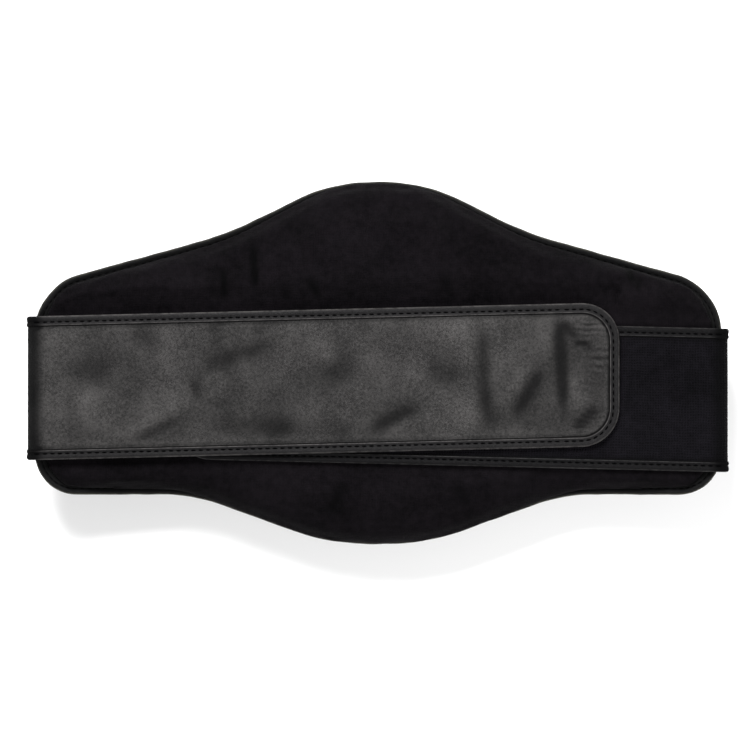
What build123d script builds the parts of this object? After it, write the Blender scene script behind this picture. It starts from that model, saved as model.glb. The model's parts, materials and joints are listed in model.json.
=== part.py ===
from build123d import *
import math
import os

# A trainer's belly pad, lying on its strike face. X runs along the belt, +Y is towards the
# wearer's chest, +Z is towards the wearer's back. The origin is on the strike face, under the
# middle of the pad. All sizes are millimetres.

# ---- Pad outline, seen from the back: right half, top to bottom, as (x, y, corner radius) ----
HALF_WIDTH = 325.0
rim_outline = [
    (0.0, 193.8, 165.0),  # chest peak
    (143.0, 123.7, 266.0),  # hollow below the peak
    (HALF_WIDTH, 72.3, 55.0),  # upper end corner
    (HALF_WIDTH, -125.0, 40.0),  # lower end corner
    (177.0, -125.0, 150.0),  # hollow above the lower peak
    (0.0, -188.7, 226.0),  # lower peak
]
WALL_HALF_WIDTH = 314.0
wall_outline = [
    (0.0, 189.6, 140.0),
    (141.0, 116.5, 260.0),
    (WALL_HALF_WIDTH, 66.0, 46.0),
    (WALL_HALF_WIDTH, -116.0, 34.0),
    (179.0, -119.5, 150.0),
    (0.0, -186.0, 222.0),
]

# ---- Pad heights at the middle; every layer rises towards the two ends ----
RIM_HEIGHT = 52.0  # middle of the bound rim
END_RISE = 22.0
LEVEL_HALF = 140.0  # half of the length that stays level
SHEET = 2.0  # leather and back fabric
IMPACT_FOAM = 20.0
LAYER_GAP = 0.2
FOAM_INSET = 4.0  # from the outside of the wall to the foam
RIM_THICKNESS = 5.2
RIM_LIP = 1.25  # one turned edge inside the rim
BINDING_SKIN = 1.4
CROWN_FILLET = 18.0
PIPING = 3.5
THREAD = 0.8
THREAD_PROUD = 0.3

# ---- Straps ----
STRAP_WIDTH = 136.0
STRAP_BODY = 3.0
STRAP_LINING = 0.8
STRAP_CORE = 1.0
STRAP_EDGE = 0.9  # from the binding's outside to the layers' cut edge
STRAP_BINDING = 0.7  # how far the binding stands proud of each face
STRAP_BINDING_WIDTH = 9.5
STRAP_STITCH = 5.8  # from the strap's edge to its stitch line
TIP_RADIUS = 36.0
STRAP_SLOPE = 0.024  # each strap climbs this much towards its tip
HINGE_X = 325.5
FOLD_REACH = 6.0  # how far a folded strap stands out from its hinge line
LONG_ROOT_Y = -23.8
LONG_TIP_X = 228.0
TAB_X = 174.0  # bend line of the grab tab
TAB_GAP = 0.3
LOOP_ROOT_Y = -35.2
LOOP_TIP_X = -194.5
ROOT_DROP = 6.5  # strap root below the rim's middle
ROOT_X = 317.0  # inner end of the strap root, under the rim
LOOP_LIFT = 3.6  # underside of the loop strap above the rim's middle
STRAP_PITCH = 5.6  # from the loop strap to the long strap over it
CROWN_CLEARANCE = 1.4  # from the back panel up to the loop strap's body
HOOK_THICKNESS = 1.3
HOOK_X = (20.0, 165.0)
HOOK_WIDTH = 100.0
PATCH_SIZE = (1.5, 90.0, 30.0)  # webbing patch behind each strap root

# ---- Derived heights ----
END_RIM_HEIGHT = RIM_HEIGHT + END_RISE
ROOT_HEIGHT = END_RIM_HEIGHT - ROOT_DROP
LOOP_BASE = END_RIM_HEIGHT + LOOP_LIFT
LONG_BASE = LOOP_BASE + STRAP_PITCH
CROWN_HEIGHT = LOOP_BASE - CROWN_CLEARANCE
RISE_RUN = HALF_WIDTH - LEVEL_HALF
RISE_RADIUS = (RISE_RUN**2 + END_RISE**2) / (2 * END_RISE)
REACH_X = 345.0  # past the ends of the pad
REACH_Y = 200.0
TALL = 120.0


def plan_face(right_half):
    """Closed outline, mirrored about X = 0, from its top point down the right side to its lowest."""
    left_half = [(-x, y, radius) for x, y, radius in reversed(right_half[1:-1])]
    corners = right_half + left_half
    points = [(x, y) for x, y, radius in corners]
    radii = [radius for x, y, radius in corners]
    return make_face(FilletPolyline(*points, radius=radii, close=True))


def column(plan):
    """A plan outline as a tall solid, to cut layers from."""
    return extrude(plan, amount=TALL)


def rising_line(height):
    """Side view of a layer's face: level in the middle, an arc up to each end, left to right."""
    turn = math.degrees(math.asin((REACH_X - LEVEL_HALF) / RISE_RADIUS))
    right = JernArc((LEVEL_HALF, height), (1, 0), RISE_RADIUS, turn)
    left = JernArc((-LEVEL_HALF, height), (-1, 0), RISE_RADIUS, -turn)
    level = Line((-LEVEL_HALF, height), (LEVEL_HALF, height))
    return left, level, right


def layer(low, high):
    """Everything between two of the pad's rising faces."""
    lower = rising_line(low)
    upper = rising_line(high)
    ends = [Line(lower[i] @ 1, upper[i] @ 1) for i in (0, 2)]
    side = make_face([*lower, *upper, *ends])
    return extrude(Plane.XZ * side, amount=REACH_Y, both=True)


def ring(outer, inner):
    """Tall wall between two plan outlines."""
    return column(outer) - column(inner)


def grown(plan, amount):
    """A plan outline moved outwards, or inwards if the amount is negative."""
    return offset(plan, amount=amount)


def crown(plan, top, fillet_radius):
    """Tall solid of a plan outline with its upper edge rounded."""
    block = extrude(plan, amount=top)
    return fillet(block.faces().sort_by(Axis.Z)[-1].edges(), fillet_radius)


def slab(x_range, z_range):
    """Everything between two X values and two Z values."""
    size_x = x_range[1] - x_range[0]
    size_z = z_range[1] - z_range[0]
    box = Box(size_x, 2 * REACH_Y, size_z)
    return Pos(sum(x_range) / 2, 0, sum(z_range) / 2) * box


rim_plan = plan_face(rim_outline)
wall_plan = plan_face(wall_outline)
inner_plan = grown(wall_plan, -SHEET)
foam_plan = grown(wall_plan, -FOAM_INSET)
rim_low = RIM_HEIGHT - RIM_THICKNESS / 2
rim_high = RIM_HEIGHT + RIM_THICKNESS / 2


def pad_shell():
    """Leather front and wall, fabric back, and the bound rim where they meet."""
    lip_ring = ring(grown(rim_plan, -BINDING_SKIN - 0.1), wall_plan)
    wall = ring(wall_plan, inner_plan) & layer(SHEET + LAYER_GAP / 2, RIM_HEIGHT - 0.05)
    gusset_lip = lip_ring & layer(RIM_HEIGHT - RIM_LIP, RIM_HEIGHT - 0.05)
    outside = crown(wall_plan, CROWN_HEIGHT, CROWN_FILLET)
    inside = crown(inner_plan, CROWN_HEIGHT - SHEET, CROWN_FILLET - SHEET)
    cover = (outside - inside) & layer(RIM_HEIGHT + 0.05, TALL)
    back_lip = lip_ring & layer(RIM_HEIGHT + 0.05, RIM_HEIGHT + RIM_LIP)
    binding = ring(rim_plan, grown(wall_plan, LAYER_GAP)) & layer(rim_low, rim_high)
    groove = column(grown(rim_plan, -BINDING_SKIN))
    groove &= layer(RIM_HEIGHT - BINDING_SKIN, RIM_HEIGHT + BINDING_SKIN)
    stitches = ring(grown(wall_plan, 1.0 + THREAD), grown(wall_plan, 1.0))
    upper_thread = stitches & layer(rim_high, rim_high + THREAD_PROUD)
    lower_thread = stitches & layer(rim_low - THREAD_PROUD, rim_low)
    piping = ring(grown(wall_plan, PIPING), grown(wall_plan, LAYER_GAP / 2))
    return {
        "front_panel": column(wall_plan) & layer(0.0, SHEET),
        "front_piping": piping & layer(0.0, PIPING),
        "side_gusset": wall + gusset_lip,
        "back_panel": cover + back_lip,
        "rim_binding": binding - groove,
        "rim_thread": Compound(upper_thread.solids() + lower_thread.solids()),
    }


def pad_foams():
    """Hard foam behind the strike face, soft foam above it, and softer foam under the back."""
    impact_top = SHEET + LAYER_GAP + IMPACT_FOAM
    block = column(foam_plan)
    comfort = crown(foam_plan, CROWN_HEIGHT - SHEET - LAYER_GAP, CROWN_FILLET - FOAM_INSET)
    return {
        "impact_foam": block & layer(SHEET + LAYER_GAP, impact_top),
        "shock_foam": block & layer(impact_top + LAYER_GAP, RIM_HEIGHT),
        "comfort_foam": comfort & layer(RIM_HEIGHT + LAYER_GAP, TALL),
    }


def anchor_patches():
    """Webbing patches that spread each strap's pull, between the foam and the end walls."""
    middle_x = WALL_HALF_WIDTH - SHEET - (FOAM_INSET - SHEET) / 2
    height = END_RIM_HEIGHT - PATCH_SIZE[2]
    patch = Box(*PATCH_SIZE)
    return {
        "left_anchor_patch": Pos(-middle_x, LONG_ROOT_Y, height) * patch,
        "right_anchor_patch": Pos(middle_x, LOOP_ROOT_Y, height) * patch,
    }


def strap_plan(root_x, root_y, tip_x):
    """A strap's outline with its tip corners rounded, running a little past its hinge line."""
    away = math.copysign(1, root_x)
    start_x = root_x + away * 20
    climb = STRAP_SLOPE * abs(tip_x - root_x)
    start_y = root_y - STRAP_SLOPE * 20
    half = STRAP_WIDTH / 2
    corners = [
        (start_x, start_y - half),
        (tip_x, root_y + climb - half),
        (tip_x, root_y + climb + half),
        (start_x, start_y + half),
    ]
    radii = [0, TIP_RADIUS, TIP_RADIUS, 0]
    return make_face(FilletPolyline(*corners, radius=radii, close=True))


def strap_section(name, plan, base, x_range):
    """The layers of a strap between two X values: lining, core, face, binding and its thread."""
    top = base + STRAP_BODY
    layers_plan = grown(plan, -STRAP_EDGE)
    core_top = base + STRAP_LINING + STRAP_CORE
    binding = ring(plan, grown(plan, -STRAP_BINDING_WIDTH))
    binding &= slab(x_range, (base - STRAP_BINDING, top + STRAP_BINDING))
    binding -= column(layers_plan) & slab(x_range, (base, top))
    stitch_ring = ring(grown(plan, -STRAP_STITCH), grown(plan, -STRAP_STITCH - THREAD))
    above = slab(x_range, (top + STRAP_BINDING, top + STRAP_BINDING + THREAD_PROUD))
    below = slab(x_range, (base - STRAP_BINDING - THREAD_PROUD, base - STRAP_BINDING))
    thread = (stitch_ring & above).solids() + (stitch_ring & below).solids()
    cut = column(layers_plan)
    return {
        f"{name}_lining": cut & slab(x_range, (base, base + STRAP_LINING)),
        f"{name}_core": cut & slab(x_range, (base + STRAP_LINING, core_top)),
        f"{name}_face": cut & slab(x_range, (core_top, top)),
        f"{name}_binding": binding,
        f"{name}_thread": Compound(thread),
    }


def strap_fold(side, root_y, base):
    """The strap's leather from its root under the rim, round the rim's edge, to its hinge line."""
    low = ROOT_HEIGHT - STRAP_BODY / 2
    high = base + STRAP_BODY
    outer = Pos(HINGE_X + FOLD_REACH / 2, (low + high) / 2) * Rectangle(FOLD_REACH, high - low)
    outer = fillet(outer.vertices().group_by(Axis.X)[-1], FOLD_REACH - 0.2)
    hollow_reach = FOLD_REACH - STRAP_BODY
    hollow_height = high - low - 2 * STRAP_BODY
    hollow = Pos(HINGE_X + hollow_reach / 2, (low + high) / 2) * Rectangle(hollow_reach, hollow_height)
    hollow = fillet(hollow.vertices().group_by(Axis.X)[-1], hollow_reach - 0.2)
    root = Pos((ROOT_X + HINGE_X) / 2, ROOT_HEIGHT) * Rectangle(HINGE_X - ROOT_X, STRAP_BODY)
    section = outer - hollow + root
    bend = extrude(Plane.XZ * section, amount=STRAP_WIDTH / 2, both=True)
    bend = Pos(0, root_y, 0) * bend
    return bend if side > 0 else Pos(0, 2 * root_y, 0) * Rot(0, 0, 180) * bend


def long_strap():
    """Leather strap with hook tape under it, and a grab tab past its bend line."""
    plan = strap_plan(-HINGE_X, LONG_ROOT_Y, LONG_TIP_X)
    nodes = strap_section("long_strap", plan, LONG_BASE, (-HINGE_X, TAB_X - TAB_GAP))
    nodes |= strap_section("grab_tab", plan, LONG_BASE, (TAB_X + TAB_GAP, LONG_TIP_X + 1))
    hook_middle = (HOOK_X[0] + HOOK_X[1]) / 2
    hook_y = LONG_ROOT_Y + STRAP_SLOPE * (hook_middle + HINGE_X)
    hook = Box(HOOK_X[1] - HOOK_X[0], HOOK_WIDTH, HOOK_THICKNESS)
    nodes["hook_patch"] = Pos(hook_middle, hook_y, LONG_BASE - HOOK_THICKNESS / 2) * hook
    nodes["long_strap_fold"] = strap_fold(-1, LONG_ROOT_Y, LONG_BASE)
    return nodes


def loop_strap():
    """Loop-faced strap that the long strap's hook tape grips."""
    plan = strap_plan(HINGE_X, LOOP_ROOT_Y, LOOP_TIP_X)
    nodes = strap_section("loop_strap", plan, LOOP_BASE, (LOOP_TIP_X - 1, HINGE_X))
    nodes["loop_strap_fold"] = strap_fold(1, LOOP_ROOT_Y, LOOP_BASE)
    return nodes


nodes = pad_shell() | pad_foams() | anchor_patches() | long_strap() | loop_strap()
os.makedirs("parts", exist_ok=True)
for name, shape in nodes.items():
    export_step(shape, f"parts/{name}.step")
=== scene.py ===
import json
import math

import bmesh
import bpy
from mathutils import Matrix, Vector, noise
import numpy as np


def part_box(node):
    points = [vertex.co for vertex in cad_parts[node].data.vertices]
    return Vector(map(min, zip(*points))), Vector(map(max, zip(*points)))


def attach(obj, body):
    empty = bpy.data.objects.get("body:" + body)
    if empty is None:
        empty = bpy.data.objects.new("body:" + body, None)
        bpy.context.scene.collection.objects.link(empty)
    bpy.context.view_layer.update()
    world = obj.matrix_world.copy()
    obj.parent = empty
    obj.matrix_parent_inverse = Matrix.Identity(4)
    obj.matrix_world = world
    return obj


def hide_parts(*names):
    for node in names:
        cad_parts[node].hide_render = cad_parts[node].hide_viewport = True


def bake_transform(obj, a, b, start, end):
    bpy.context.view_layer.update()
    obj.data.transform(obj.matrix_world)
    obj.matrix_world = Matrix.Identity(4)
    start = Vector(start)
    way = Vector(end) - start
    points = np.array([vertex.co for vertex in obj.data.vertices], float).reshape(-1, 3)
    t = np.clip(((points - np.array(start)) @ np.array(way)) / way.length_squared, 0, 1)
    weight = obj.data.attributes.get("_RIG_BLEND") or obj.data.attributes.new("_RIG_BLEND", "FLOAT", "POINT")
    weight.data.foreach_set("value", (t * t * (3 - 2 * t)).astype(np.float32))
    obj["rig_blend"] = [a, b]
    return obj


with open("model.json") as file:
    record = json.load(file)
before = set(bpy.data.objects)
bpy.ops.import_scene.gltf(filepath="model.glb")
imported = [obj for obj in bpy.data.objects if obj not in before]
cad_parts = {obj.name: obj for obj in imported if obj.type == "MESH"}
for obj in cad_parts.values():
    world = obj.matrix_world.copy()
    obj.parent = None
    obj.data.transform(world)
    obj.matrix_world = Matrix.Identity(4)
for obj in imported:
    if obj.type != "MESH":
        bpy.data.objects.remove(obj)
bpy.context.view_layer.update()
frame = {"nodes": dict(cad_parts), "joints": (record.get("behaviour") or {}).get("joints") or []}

scene = bpy.context.scene
joints = {joint["name"]: joint for joint in frame["joints"]}
mm = 0.001


def clamp(value, low=0.0, high=1.0):
    return max(low, min(high, value))


def smoothStep(value, start, end):  # 0 before start, 1 after end
    share = clamp((value - start) / (end - start))
    return share * share * (3 - 2 * share)


def humpAt(value, middle, width):  # 1 at the middle, fading to 0 on both sides
    return math.exp(-(((value - middle) / width) ** 2))


def noiseAt(x, y, z):
    return noise.noise(Vector((x, y, z)))


def addSubdivision(piece, levels):
    modifier = piece.modifiers.new("Smooth", "SUBSURF")
    modifier.levels = levels
    modifier.render_levels = levels


def pieceFromBmesh(bm, name, material, subdivide=0):
    bmesh.ops.remove_doubles(bm, verts=bm.verts, dist=1e-6)
    bmesh.ops.recalc_face_normals(bm, faces=bm.faces)
    mesh = bpy.data.meshes.new(name)
    bm.to_mesh(mesh)
    bm.free()
    mesh.polygons.foreach_set("use_smooth", [True] * len(mesh.polygons))
    mesh.materials.append(material)
    piece = bpy.data.objects.new(name, mesh)
    scene.collection.objects.link(piece)
    if subdivide:
        addSubdivision(piece, subdivide)
    return piece


def bakedMesh(piece):  # the mesh with its modifiers applied
    bpy.context.view_layer.update()
    graph = bpy.context.evaluated_depsgraph_get()
    return bpy.data.meshes.new_from_object(piece.evaluated_get(graph))


def applyModifiers(piece):
    mesh, old = bakedMesh(piece), piece.data
    piece.modifiers.clear()
    piece.data = mesh
    mesh.name = piece.name
    bpy.data.meshes.remove(old)


def reshape(piece, move):  # every point goes where move says, from its place and normal
    mesh = piece.data
    spots = [move(vertex.co.copy(), vertex.normal.copy()) for vertex in mesh.vertices]
    mesh.vertices.foreach_set("co", [value for spot in spots for value in spot])
    mesh.update()


def keepCrisp(bm, edges):  # these edges stay sharp under a subdivision
    creased = bm.edges.layers.float["crease_edge"]
    for edge in edges:
        edge[creased] = 1.0
        edge.smooth = False


def sweep(points, profile, closed=False):  # bmesh of a flat profile carried along a line of points
    path = bpy.data.curves.new("sweepPath", "CURVE")
    path.dimensions = "3D"
    path.twist_mode = "Z_UP"
    path.use_fill_caps = not closed
    section = bpy.data.curves.new("sweepSection", "CURVE")
    section.dimensions = "2D"
    for curve, corners, cyclic in ((path, points, closed), (section, profile, True)):
        spline = curve.splines.new("POLY")
        spline.points.add(len(corners) - 1)
        spline.use_cyclic_u = cyclic
        for point, corner in zip(spline.points, corners):
            point.co = (*corner, 0, 1) if len(corner) == 2 else (*corner, 1)
    sectionObject = bpy.data.objects.new("sweepSection", section)
    pathObject = bpy.data.objects.new("sweepPath", path)
    scene.collection.objects.link(sectionObject)
    scene.collection.objects.link(pathObject)
    path.bevel_mode = "OBJECT"
    path.bevel_object = sectionObject
    bm = bmesh.new()
    bm.from_mesh(bakedMesh(pathObject))
    bpy.data.objects.remove(pathObject)
    bpy.data.objects.remove(sectionObject)
    return bm


def evenPlaces(points, step, closed=False, margin=0.0):  # places as point index + share of the way on
    follower = points[1:] + points[:1] if closed else points[1:]
    lengths = [(b - a).length for a, b in zip(points, follower)]
    total = sum(lengths) - 2 * margin
    count = max(2, round(total / step))
    first = 0.0 if closed else 0.5
    places, travelled, index = [], 0.0, 0
    for distance in (margin + total * (i + first) / count for i in range(count)):
        while index < len(lengths) - 1 and travelled + lengths[index] < distance:
            travelled += lengths[index]
            index += 1
        places.append(index + clamp((distance - travelled) / lengths[index]))
    return places


def pointAt(points, place):
    index = int(place) % len(points)
    return points[index].lerp(points[(index + 1) % len(points)], place - int(place))


def creaseDepth(x, y, line):  # how far one crease presses the surface in at a point
    first, last, depth, width = line
    start, run = Vector(first), Vector(last) - Vector(first)
    along = clamp((Vector((x, y)) - start).dot(run) / run.length_squared)
    gap = (Vector((x, y)) - start - run * along).length
    fade = smoothStep(along, -0.05, 0.35) * smoothStep(1 - along, -0.05, 0.35)
    return depth * mm * fade * humpAt(gap, 0, width * mm)


def newGroup(name, inputs, outputs):
    group = bpy.data.node_groups.new(name, "ShaderNodeTree")
    for socketName, kind, default in inputs:
        socket = group.interface.new_socket(socketName, in_out="INPUT", socket_type=kind)
        if default is not None:
            socket.default_value = default
    for socketName in outputs:
        group.interface.new_socket(socketName, in_out="OUTPUT", socket_type="NodeSocketFloat")
    return group, group.nodes.new("NodeGroupInput"), group.nodes.new("NodeGroupOutput")


def addNode(tree, kind, inputs=None, **settings):
    node = tree.nodes.new(kind)
    for key, value in settings.items():
        setattr(node, key, value)
    for key, value in (inputs or {}).items():
        socket = node.inputs[key]
        if isinstance(value, bpy.types.NodeSocket):
            tree.links.new(value, socket)
        else:
            socket.default_value = value
    return node


def calc(tree, operation, first, second=0.0, third=0.0):
    node = addNode(tree, "ShaderNodeMath", {0: first, 1: second, 2: third}, operation=operation)
    return node.outputs[0]


def spread(tree, value, low, high, toLow=0.0, toHigh=1.0):
    node = addNode(tree, "ShaderNodeMapRange", {0: value, 1: low, 2: high, 3: toLow, 4: toHigh})
    return node.outputs[0]


def cloud(tree, place, scale, detail=2.0, roughness=0.5):
    settings = {"Vector": place, "Scale": scale, "Detail": detail, "Roughness": roughness}
    return addNode(tree, "ShaderNodeTexNoise", settings).outputs["Fac"]


def nudged(tree, place, scale, amount):  # the same place, shifted a little this way and that
    stray = addNode(tree, "ShaderNodeTexNoise", {"Vector": place, "Scale": scale, "Detail": 2.0})
    shift = {0: stray.outputs["Color"], 1: (amount, amount, amount)}
    shifted = addNode(tree, "ShaderNodeVectorMath", shift, operation="MULTIPLY").outputs[0]
    return addNode(tree, "ShaderNodeVectorMath", {0: place, 1: shifted}, operation="ADD").outputs[0]


def centred(tree, value, middle, amount, base=0.0):  # base + (value - middle) * amount
    return calc(tree, "MULTIPLY_ADD", calc(tree, "SUBTRACT", value, middle), amount, base)


def leatherGrainGroup():
    group, source, result = newGroup(
        "leatherGrain",
        [
            ("Vector", "NodeSocketVector", None),
            ("Pebble", "NodeSocketFloat", 700.0),
            ("Mottle", "NodeSocketFloat", 1.0),
        ],
        ["Height", "Tone"],
    )
    place = source.outputs["Vector"]
    moved = nudged(group, place, 260.0, 0.0012)
    cellInputs = {"Vector": moved, "Scale": source.outputs["Pebble"]}
    cells = addNode(group, "ShaderNodeTexVoronoi", cellInputs, feature="DISTANCE_TO_EDGE")
    raised = spread(group, cells.outputs["Distance"], 0.0, 0.22)
    fine = cloud(group, place, 1900.0)
    middle = cloud(group, place, 480.0, 4.0, 0.75)
    broad = cloud(group, place, 26.0, 2.0, 0.5)
    height = calc(group, "MULTIPLY_ADD", fine, 0.35, raised)
    height = calc(group, "MULTIPLY_ADD", middle, 0.8, height)
    mix = centred(group, middle, 0.5, 2.2)
    mix = centred(group, broad, 0.5, 0.9, mix)
    mix = centred(group, raised, 0.7, 0.18, mix)
    tone = calc(group, "MULTIPLY_ADD", mix, source.outputs["Mottle"], 0.5)
    group.links.new(height, result.inputs["Height"])
    group.links.new(spread(group, tone, 0.0, 1.0), result.inputs["Tone"])
    return group


def clothWeaveGroup():
    group, source, result = newGroup(
        "clothWeave",
        [
            ("Vector", "NodeSocketVector", None),
            ("Pitch", "NodeSocketFloat", 900.0),
            ("Ribs", "NodeSocketFloat", 0.2),
            ("Slub", "NodeSocketFloat", 1.0),
        ],
        ["Height", "Tone"],
    )
    place = source.outputs["Vector"]
    moved = nudged(group, place, 90.0, 0.003)
    split = addNode(group, "ShaderNodeSeparateXYZ", {0: moved})
    turn = calc(group, "MULTIPLY", source.outputs["Pitch"], math.tau)
    warp = calc(group, "SINE", calc(group, "MULTIPLY", split.outputs["X"], turn))
    weft = calc(group, "SINE", calc(group, "MULTIPLY", split.outputs["Y"], turn))
    weave = calc(group, "MAXIMUM", warp, calc(group, "MULTIPLY", weft, 0.8))
    fuzz = cloud(group, place, 1300.0, 3.0)
    patchy = cloud(group, place, 160.0, 3.0, 0.6)
    broad = cloud(group, place, 14.0, 5.0, 0.65)
    height = calc(group, "MULTIPLY_ADD", fuzz, 0.9, weave)
    mix = centred(group, fuzz, 0.5, 0.9)
    mix = centred(group, patchy, 0.5, 0.9, mix)
    mix = centred(group, broad, 0.5, 1.3, mix)
    mix = calc(group, "MULTIPLY", mix, source.outputs["Slub"])
    tone = centred(group, weave, 0.4, source.outputs["Ribs"], calc(group, "ADD", mix, 0.5))
    group.links.new(height, result.inputs["Height"])
    group.links.new(spread(group, tone, 0.0, 1.0), result.inputs["Tone"])
    return group


def edgeHighlightGroup():  # a painted highlight along a leather edge, in patches
    group, source, result = newGroup(
        "edgeHighlight",
        [
            ("Vector", "NodeSocketVector", None),
            ("FromEdge", "NodeSocketFloat", 0.01),
            ("Reach", "NodeSocketFloat", 0.002),
        ],
        ["Mask"],
    )
    near = spread(group, calc(group, "DIVIDE", source.outputs["FromEdge"], source.outputs["Reach"]), 1.0, 0.3)
    broken = spread(group, cloud(group, source.outputs["Vector"], 150.0, 4.0, 0.6), 0.38, 0.6, 0.35, 1.0)
    group.links.new(calc(group, "MULTIPLY", near, broken), result.inputs["Mask"])
    return group


leatherGrain = leatherGrainGroup()
clothWeave = clothWeaveGroup()
edgeHighlight = edgeHighlightGroup()


def mixColour(tree, share, first, second):
    first, second = [(*value, 1) if isinstance(value, tuple) else value for value in (first, second)]
    return addNode(tree, "ShaderNodeMix", {0: share, 6: first, 7: second}, data_type="RGBA").outputs[2]


paintedShadeLook = {"colour": (0.0008, 0.0008, 0.0009), "rough": 0.97}  # painted shade: the colour and roughness that folds, hollows and grooves are darkened towards
sheenRough = 0.35


def patternMaterial(name, group, groupInputs, look):
    material = bpy.data.materials.new(name)
    material.use_nodes = True
    tree = material.node_tree
    shader = tree.nodes["Principled BSDF"]
    if look.get("alongStrap"):
        place = addNode(tree, "ShaderNodeAttribute", attribute_name="onStrap").outputs["Vector"]
    else:
        place = addNode(tree, "ShaderNodeTexCoord").outputs["Object"]
    effect = addNode(tree, "ShaderNodeGroup", None, node_tree=group)
    for key, value in {"Vector": place, **groupInputs}.items():
        if key == "Vector":
            tree.links.new(value, effect.inputs[key])
        else:
            effect.inputs[key].default_value = value
    tone = effect.outputs["Tone"]
    colour = mixColour(tree, tone, look["dark"], look["light"])
    # painted highlight: lighter along the leather's edges and ridges
    if "highlightColour" in look:
        fromEdge = addNode(tree, "ShaderNodeAttribute", attribute_name="fromEdge").outputs["Fac"]
        highlightInputs = {"Vector": place, "FromEdge": fromEdge, "Reach": look["highlightReach"]}
        edgeShine = addNode(tree, "ShaderNodeGroup", highlightInputs, node_tree=edgeHighlight)
        colour = mixColour(tree, edgeShine.outputs["Mask"], colour, look["highlightColour"])
    # painted shade: the colour is darkened where the piece's shade attribute says
    if "paintedShade" in look:
        paintedShade = addNode(tree, "ShaderNodeAttribute", attribute_name="paintedShade").outputs["Fac"]
        share = calc(tree, "MULTIPLY", paintedShade, look["paintedShade"])
        colour = mixColour(tree, share, colour, paintedShadeLook["colour"])
    rough = spread(tree, tone, 0.0, 1.0, *look["rough"])
    if "paintedShade" in look:
        rough = spread(tree, share, 0.0, 1.0, rough, paintedShadeLook["rough"])
    height = effect.outputs["Height"]
    bumpInputs = {"Height": height, "Strength": look["bump"], "Distance": look["bumpHeight"]}
    bump = addNode(tree, "ShaderNodeBump", bumpInputs)
    tree.links.new(colour, shader.inputs["Base Color"])
    tree.links.new(rough, shader.inputs["Roughness"])
    tree.links.new(bump.outputs[0], shader.inputs["Normal"])
    shader.inputs["Specular IOR Level"].default_value = look["gloss"]
    shader.inputs["Sheen Weight"].default_value = look.get("sheen", 0.0)
    shader.inputs["Sheen Roughness"].default_value = sheenRough
    return material


strapLeather = patternMaterial("strapLeather", leatherGrain, {"Pebble": 900.0, "Mottle": 1.6}, {
    "dark": (0.0110, 0.0105, 0.0103), "light": (0.0450, 0.0427, 0.0420), "rough": (0.38, 0.50),
    "bump": 0.7, "bumpHeight": 0.35 * mm, "gloss": 0.15, "alongStrap": True, "paintedShade": 0.9,
})
# painted highlight: the bound edges' light edge colours below stand in for light caught by their rolled edges
edgeLeather = patternMaterial("edgeLeather", leatherGrain, {"Pebble": 1100.0, "Mottle": 0.8}, {
    "dark": (0.0026, 0.0025, 0.0027), "light": (0.0115, 0.0108, 0.0113), "rough": (0.40, 0.54),
    "bump": 0.4, "bumpHeight": 0.3 * mm, "gloss": 0.08, "alongStrap": True, "paintedShade": 0.95,
    "highlightColour": (0.055, 0.052, 0.051), "highlightReach": 1.7 * mm,
})
loopEdgeLeather = patternMaterial("loopEdgeLeather", leatherGrain, {"Pebble": 1100.0, "Mottle": 0.8}, {
    "dark": (0.0010, 0.0009, 0.0011), "light": (0.0044, 0.0041, 0.0046), "rough": (0.42, 0.56),
    "bump": 0.4, "bumpHeight": 0.3 * mm, "gloss": 0.06, "alongStrap": True, "paintedShade": 0.95,
    "highlightColour": (0.030, 0.029, 0.029), "highlightReach": 1.4 * mm,
})
# painted highlight: the tape's light edge colour stands in for light caught by its rolled outer edge
rimLeather = patternMaterial("rimLeather", leatherGrain, {"Pebble": 1000.0, "Mottle": 0.8}, {
    "dark": (0.0008, 0.0008, 0.0009), "light": (0.0030, 0.0029, 0.0030), "rough": (0.46, 0.62),
    "bump": 0.4, "bumpHeight": 0.3 * mm, "gloss": 0.08, "paintedShade": 0.9,
    "highlightColour": (0.040, 0.039, 0.031), "highlightReach": 1.9 * mm,
})
strikeLeather = patternMaterial("strikeLeather", leatherGrain, {"Pebble": 560.0, "Mottle": 1.0}, {
    "dark": (0.0050, 0.0048, 0.0048), "light": (0.0230, 0.0218, 0.0215), "rough": (0.38, 0.52),
    "bump": 0.7, "bumpHeight": 0.4 * mm, "gloss": 0.18,
})
backFabric = patternMaterial("backFabric", clothWeave, {"Pitch": 700.0, "Ribs": 0.2, "Slub": 1.2}, {
    "dark": (0.0006, 0.0005, 0.0007), "light": (0.0050, 0.0041, 0.0051), "rough": (0.9, 1.0),
    "bump": 0.5, "bumpHeight": 0.3 * mm, "gloss": 0.03, "sheen": 0.025, "paintedShade": 0.95,
})
liningFabric = patternMaterial("liningFabric", clothWeave, {"Pitch": 800.0, "Ribs": 0.15, "Slub": 0.8}, {
    "dark": (0.0035, 0.0035, 0.0040), "light": (0.0100, 0.0100, 0.0105), "rough": (0.85, 0.95),
    "bump": 0.5, "bumpHeight": 0.3 * mm, "gloss": 0.2, "alongStrap": True,
})
webbing = patternMaterial("webbing", clothWeave, {"Pitch": 480.0, "Ribs": 0.3, "Slub": 0.7}, {
    "dark": (0.006, 0.006, 0.0065), "light": (0.020, 0.020, 0.021), "rough": (0.7, 0.85),
    "bump": 0.7, "bumpHeight": 0.4 * mm, "gloss": 0.3,
})
loopPile = patternMaterial("loopPile", clothWeave, {"Pitch": 400.0, "Ribs": 0.2, "Slub": 1.3}, {
    "dark": (0.0006, 0.0005, 0.0009), "light": (0.0052, 0.0046, 0.0062), "rough": (0.85, 0.98),
    "bump": 0.9, "bumpHeight": 0.6 * mm, "gloss": 0.05, "sheen": 0.02, "alongStrap": True, "paintedShade": 0.8,
})
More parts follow.
